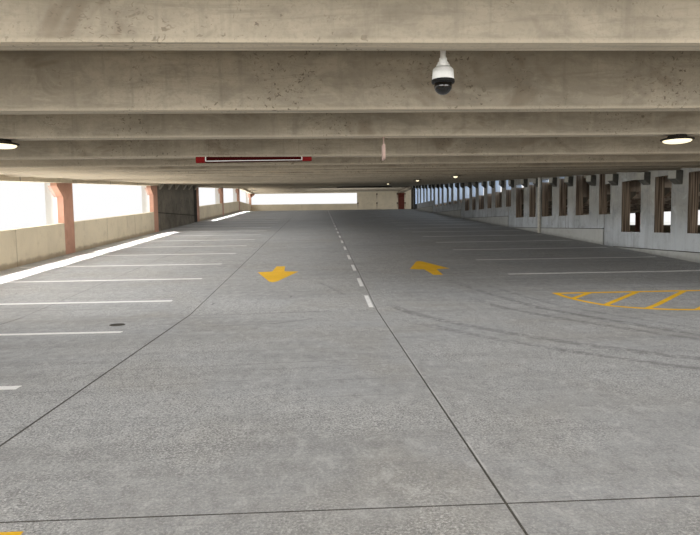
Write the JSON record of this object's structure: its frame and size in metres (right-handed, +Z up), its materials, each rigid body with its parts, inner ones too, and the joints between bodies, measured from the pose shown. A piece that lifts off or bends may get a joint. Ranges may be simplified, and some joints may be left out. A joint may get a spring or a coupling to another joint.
{
  "type": "multi storey car park, 1:2 scale model",
  "caption": "Two-bay precast concrete parking structure at half size: a ramping storey under double tees, side spandrels and columns, and an open middle wall.",
  "frame": {"origin": "underside of the ground slabs, at the centre of the building's bounding box", "axes": "+X east across the two bays, +Y north up the ramp of the west bay, +Z up"},
  "size_m": [19.76, 39.009, 3.86],
  "materials": {
    "floor_concrete": "broomed, grey",
    "tee_concrete": "cast smooth, stained",
    "deck_concrete": "cast smooth, broomed top",
    "cream_concrete": "cast smooth, cream",
    "wall_concrete": "cast smooth, cool grey",
    "dark_concrete": "cast smooth, dark grey",
    "salmon_concrete": "cast smooth, salmon",
    "brown_concrete": "cast smooth, red-brown",
    "lamp": "diffusing",
    "white_paint": "satin",
    "dome": "gloss",
    "red_paint": "satin",
    "zinc": "dull",
    "pipe_paint": "dull",
    "drain_plastic": "matt"
  },
  "bodies": {
    "root": {"ground_slab_west": "floor_concrete", "ground_slab_east": "floor_concrete", "west_ramp_base": "floor_concrete", "west_ramp_tees": "deck_concrete", "west_upper_landing_tees": "tee_concrete", "west_ceiling_tees_south": "tee_concrete", "west_ceiling_tees_north": "tee_concrete", "east_upper_landing_tees": "tee_concrete", "east_ramp_tees_south": "tee_concrete", "east_ramp_tees_north": "tee_concrete", "west_columns": "salmon_concrete", "east_columns": "salmon_concrete", "west_lower_walls": "cream_concrete", "west_upper_spandrels": "cream_concrete", "west_shear_wall": "dark_concrete", "shear_wall_corbels": "wall_concrete", "east_lower_walls": "cream_concrete", "east_deck_spandrels": "cream_concrete", "east_shear_wall": "dark_concrete", "middle_wall_panel_2": "wall_concrete", "middle_wall_panel_3": "wall_concrete", "middle_wall_panel_4": "wall_concrete", "middle_wall_panel_5": "wall_concrete", "middle_wall_panel_6": "wall_concrete", "middle_wall_corbels_west": "dark_concrete", "middle_wall_corbels_east": "dark_concrete", "cross_beams": "tee_concrete", "cross_beam_columns": "wall_concrete", "south_columns": "salmon_concrete", "south_spandrels": "cream_concrete", "south_low_wall": "cream_concrete", "north_lower_wall": "cream_concrete", "north_upper_spandrel": "cream_concrete", "north_solid_wall": "cream_concrete", "north_brown_column": "brown_concrete", "north_east_wall": "cream_concrete", "ceiling_lights": "lamp", "camera_pendant": "zinc", "camera_housing": "white_paint", "camera_dome": "dome", "height_bar": "red_paint", "height_bar_hangers": "zinc", "hanging_sign": "white_paint", "drain_pipe": "drain_plastic", "ceiling_pipe": "pipe_paint"}
  },
  "joints": []
}
